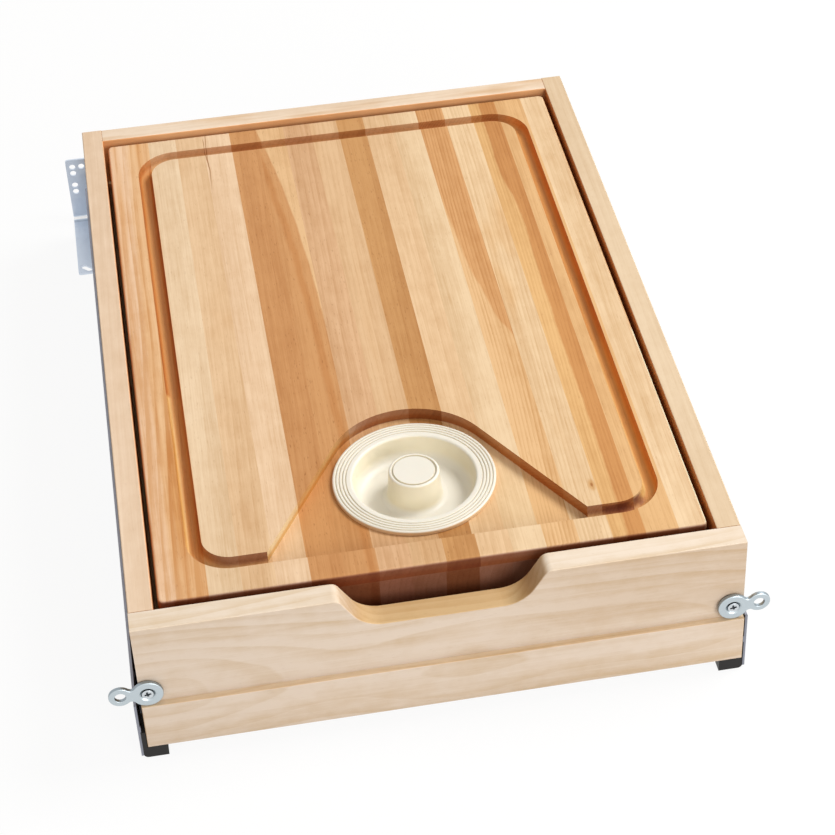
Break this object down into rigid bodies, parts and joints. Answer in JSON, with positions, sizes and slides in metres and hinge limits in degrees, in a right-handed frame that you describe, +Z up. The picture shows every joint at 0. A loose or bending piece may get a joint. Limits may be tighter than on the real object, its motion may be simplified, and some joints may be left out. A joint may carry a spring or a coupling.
{
  "type": "cutting board drawer",
  "caption": "Wooden drawer box on undermount runners, topped by a lift-out laminated cutting board with a juice groove, a funnel pocket and a scrap plug.",
  "frame": {"origin": "middle of the drawer's width and of the whole part's depth, on the plane that the runners' end caps and rear brackets stand on", "axes": "+X to the drawer's right as seen from its front, +Y from the front to the back, +Z up"},
  "size_m": [0.4054, 0.5806, 0.104],
  "materials": {
    "maple_box": "clear satin lacquer on pale maple",
    "panel_birch": "clear satin lacquer on birch plywood",
    "dowel_beech": "plain beech",
    "stave_pale": "oiled pale board wood",
    "stave_golden": "oiled golden board wood",
    "stave_brown": "oiled brown heartwood",
    "plug_ivory": "soft satin moulded ivory plastic",
    "zinc_clip": "bright zinc plate",
    "screw_steel": "bright zinc plate",
    "runner_steel": "galvanised sheet",
    "bracket_steel": "galvanised sheet",
    "cap_black": "moulded black plastic",
    "carriage_grey": "moulded grey plastic",
    "roller_white": "acetal rollers",
    "lock_grey": "moulded dark grey plastic",
    "lever_orange": "moulded orange plastic"
  },
  "bodies": {
    "cabinet": {"cabinet_rail_left": "runner_steel", "cabinet_rail_right": "runner_steel", "end_cap_left": "cap_black", "end_cap_right": "cap_black", "rear_bracket_left": "bracket_steel", "rear_bracket_right": "bracket_steel", "bracket_rivets": "runner_steel"},
    "drawer": {"drawer_front": "maple_box", "drawer_side_left": "maple_box", "drawer_side_right": "maple_box", "drawer_back": "maple_box", "bottom_panel": "panel_birch", "corner_dowels": "dowel_beech", "board_cleat_left": "maple_box", "board_cleat_right": "maple_box", "cleat_screws": "screw_steel", "fastener_screw_left": "screw_steel", "fastener_screw_right": "screw_steel", "drawer_rail_left": "runner_steel", "drawer_rail_right": "runner_steel", "locking_device_left": "lock_grey", "locking_device_right": "lock_grey", "lock_screws": "screw_steel"},
    "board": {"stave_01": "stave_golden", "stave_02": "stave_pale", "stave_03": "stave_golden", "stave_04": "stave_pale", "stave_05": "stave_brown", "stave_06": "stave_brown", "stave_07": "stave_golden", "stave_08": "stave_pale", "stave_09": "stave_brown", "stave_10": "stave_pale", "stave_11": "stave_pale", "stave_12": "stave_brown", "stave_13": "stave_pale", "stave_14": "stave_golden", "stave_15": "stave_golden", "stave_16": "stave_pale"},
    "plug": {"scrap_plug": "plug_ivory"},
    "middle_rail_left": {"middle_rail_left": "runner_steel"},
    "lower_carriage_left": {"lower_carriage_left": "carriage_grey", "lower_rollers_left": "roller_white"},
    "upper_carriage_left": {"upper_carriage_left": "carriage_grey", "upper_rollers_left": "roller_white"},
    "fastener_left": {"fastener_left": "zinc_clip"},
    "release_lever_left": {"release_lever_left": "lever_orange"},
    "middle_rail_right": {"middle_rail_right": "runner_steel"},
    "lower_carriage_right": {"lower_carriage_right": "carriage_grey", "lower_rollers_right": "roller_white"},
    "upper_carriage_right": {"upper_carriage_right": "carriage_grey", "upper_rollers_right": "roller_white"},
    "fastener_right": {"fastener_right": "zinc_clip"},
    "release_lever_right": {"release_lever_right": "lever_orange"}
  },
  "joints": [
    {"name": "drawer_slide", "type": "slide", "parent": "cabinet", "child": "drawer", "axis": [0, -1, 0], "range_m": [0, 0.52]},
    {"name": "board_lift", "type": "slide", "parent": "drawer", "child": "board", "axis": [0, 0, 1], "range_m": [0, 0.12]},
    {"name": "plug_lift", "type": "slide", "parent": "board", "child": "plug", "axis": [0, 0, 1], "range_m": [0, 0.06]},
    {"name": "middle_slide_left", "type": "slide", "parent": "cabinet", "child": "middle_rail_left", "axis": [0, -1, 0], "range_m": [0, 0.26]},
    {"name": "lower_roll_left", "type": "slide", "parent": "cabinet", "child": "lower_carriage_left", "axis": [0, -1, 0], "range_m": [0, 0.13]},
    {"name": "upper_roll_left", "type": "slide", "parent": "cabinet", "child": "upper_carriage_left", "axis": [0, -1, 0], "range_m": [0, 0.39]},
    {"name": "fastener_swivel_left", "type": "hinge", "parent": "drawer", "child": "fastener_left", "pos_m": [-0.1806, -0.2879, 0.0534], "axis": [0, 1, 0], "range_deg": [-10, 170]},
    {"name": "lever_swing_left", "type": "hinge", "parent": "drawer", "child": "release_lever_left", "pos_m": [-0.1255, -0.23475, 0.0093], "axis": [0, 0, -1], "range_deg": [0, 20], "stiffness_Nm_per_rad": 0.01, "springref_deg": -11.46},
    {"name": "middle_slide_right", "type": "slide", "parent": "cabinet", "child": "middle_rail_right", "axis": [0, -1, 0], "range_m": [0, 0.26]},
    {"name": "lower_roll_right", "type": "slide", "parent": "cabinet", "child": "lower_carriage_right", "axis": [0, -1, 0], "range_m": [0, 0.13]},
    {"name": "upper_roll_right", "type": "slide", "parent": "cabinet", "child": "upper_carriage_right", "axis": [0, -1, 0], "range_m": [0, 0.39]},
    {"name": "fastener_swivel_right", "type": "hinge", "parent": "drawer", "child": "fastener_right", "pos_m": [0.1783, -0.2879, 0.0534], "axis": [0, -1, 0], "range_deg": [-10, 170]},
    {"name": "lever_swing_right", "type": "hinge", "parent": "drawer", "child": "release_lever_right", "pos_m": [0.1255, -0.23475, 0.0093], "axis": [0, 0, 1], "range_deg": [0, 20], "stiffness_Nm_per_rad": 0.01, "springref_deg": -11.46}
  ],
  "couplings": [
    {"joint": "middle_slide_left", "follows": "drawer_slide", "ratio": 0.5},
    {"joint": "lower_roll_left", "follows": "drawer_slide", "ratio": 0.25},
    {"joint": "upper_roll_left", "follows": "drawer_slide", "ratio": 0.75},
    {"joint": "middle_slide_right", "follows": "drawer_slide", "ratio": 0.5},
    {"joint": "lower_roll_right", "follows": "drawer_slide", "ratio": 0.25},
    {"joint": "upper_roll_right", "follows": "drawer_slide", "ratio": 0.75}
  ]
}
